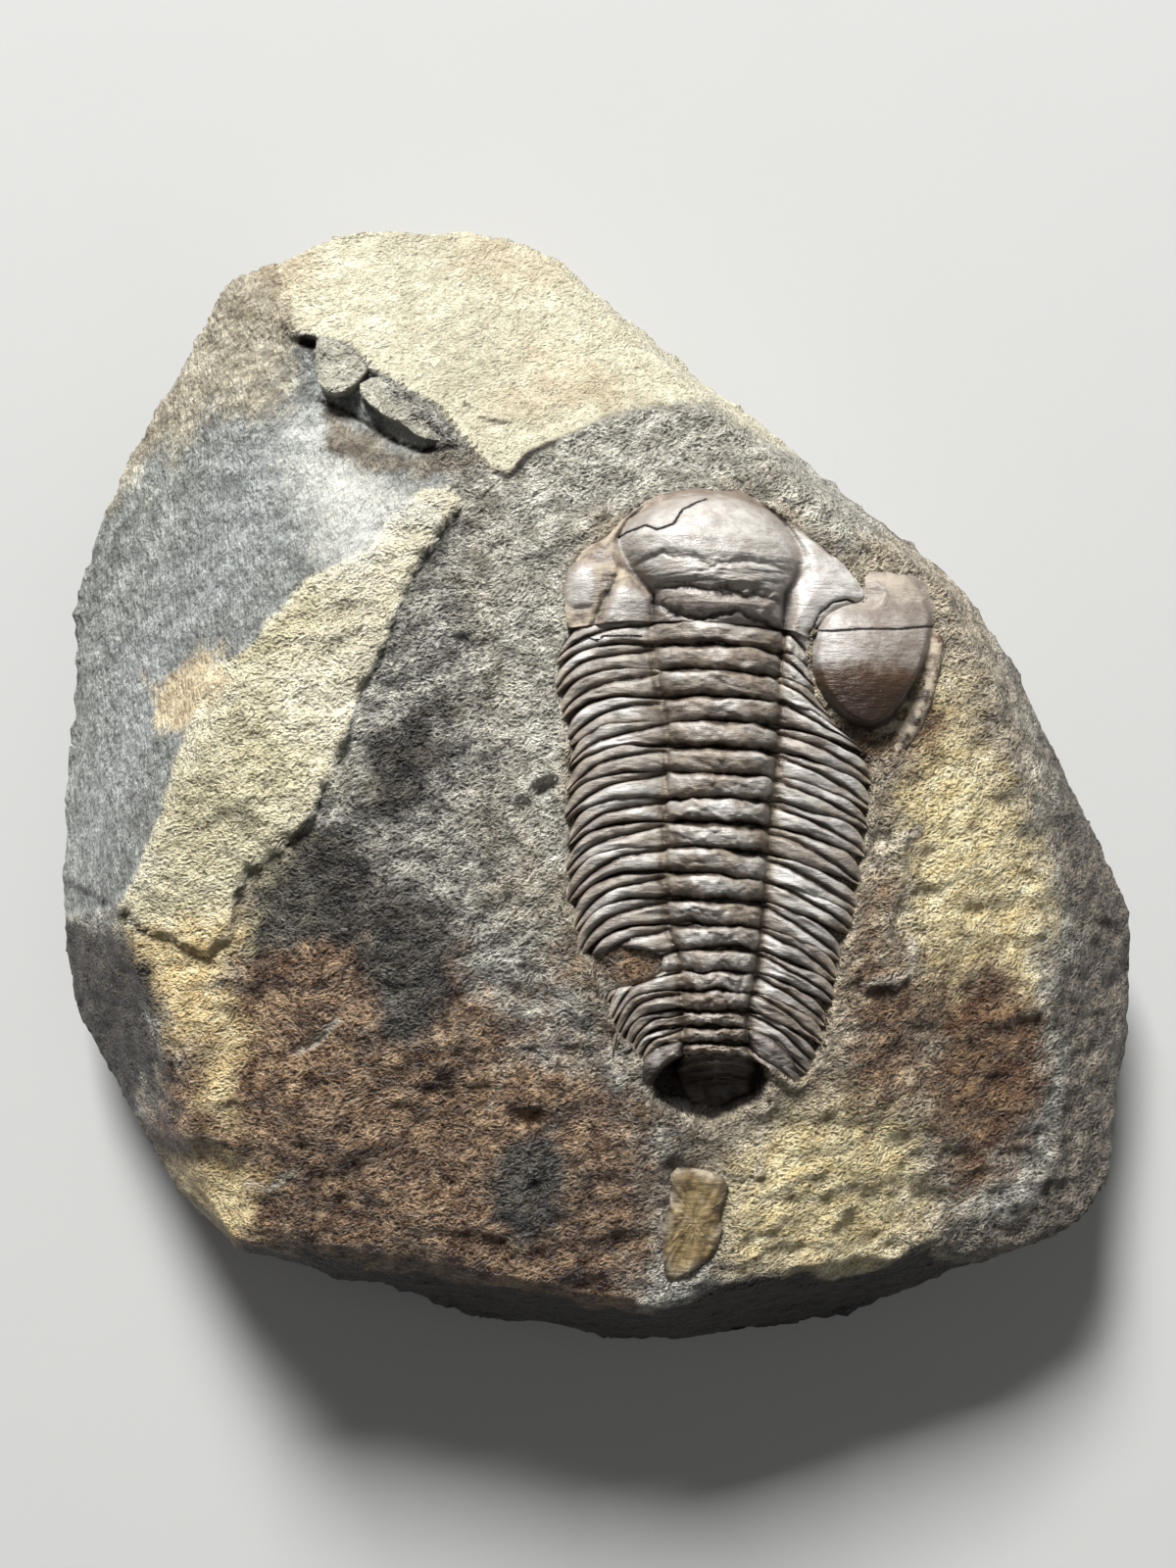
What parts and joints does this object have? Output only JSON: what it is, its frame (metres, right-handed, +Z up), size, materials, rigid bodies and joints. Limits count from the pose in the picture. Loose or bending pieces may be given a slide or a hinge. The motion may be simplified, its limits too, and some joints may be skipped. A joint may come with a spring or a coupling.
{
  "type": "trilobite fossil on matrix rock",
  "caption": "Broken block of fine-grained rock lying on its flat back, with a segmented fossil trilobite, its loose cheek and a shell fragment on the crowned face.",
  "frame": {"origin": "middle of the flat back that the block rests on", "axes": "+Y from the trilobite's tail toward its head, +X toward its right side as seen from above, +Z up, out of the fossil face"},
  "size_m": [0.1588, 0.1643, 0.0494],
  "materials": {
    "matrix_rock": "rough broken mudstone, olive and gray with rusty stains",
    "trilobite_shell": "dark brown mineralised shell with a satin sheen",
    "free_cheek_shell": "dark brown mineralised shell, glossier than the body",
    "fragment_shell": "olive brown shell with fine growth lines"
  },
  "bodies": {
    "root": {"matrix_rock": "matrix_rock", "trilobite": "trilobite_shell", "free_cheek": "free_cheek_shell", "shell_fragment": "fragment_shell"}
  },
  "joints": []
}
